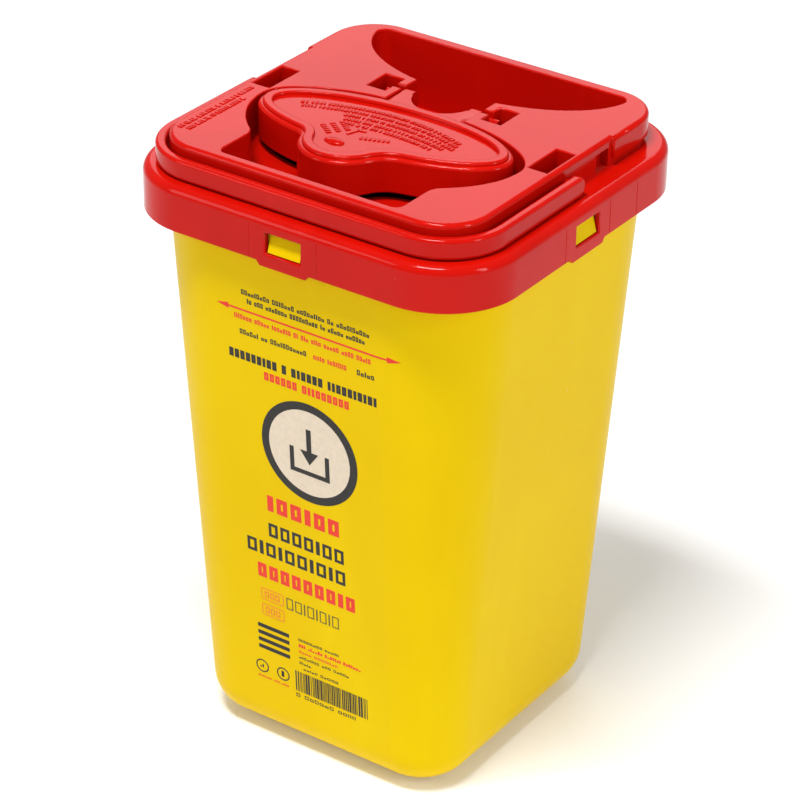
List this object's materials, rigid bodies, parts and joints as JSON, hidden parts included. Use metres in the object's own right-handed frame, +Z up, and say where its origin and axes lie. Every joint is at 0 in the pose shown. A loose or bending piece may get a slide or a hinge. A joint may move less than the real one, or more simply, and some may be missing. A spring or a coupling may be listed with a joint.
{
  "type": "sharps container",
  "caption": "Small tapered square sharps bin with a push-fit lid, a hinged lobed flap over the drop aperture and a U-shaped carrying handle.",
  "frame": {"origin": "centre of the rectangle that the container covers, on the surface it stands on", "axes": "+Z up; -Y is the printed front, towards which the cover's nose and the handle's bar point; +X to the right seen from the front"},
  "size_m": [0.116, 0.1142, 0.1872],
  "materials": {
    "yellow_plastic": "semi-gloss moulded polypropylene, slightly translucent",
    "red_plastic": "glossy moulded polypropylene"
  },
  "bodies": {
    "container": {"bin": "yellow_plastic", "lid": "red_plastic"},
    "cover": {"cover": "red_plastic"},
    "handle": {"handle": "red_plastic"}
  },
  "joints": [
    {"name": "cover_hinge", "type": "hinge", "parent": "container", "child": "cover", "pos_m": [0, 0.0165, 0.1826], "axis": [-1, 0, 0], "range_deg": [0, 130]},
    {"name": "handle_pivot", "type": "hinge", "parent": "container", "child": "handle", "pos_m": [0, 0.0009, 0.1803], "axis": [-1, 0, 0], "range_deg": [0, 180]}
  ]
}
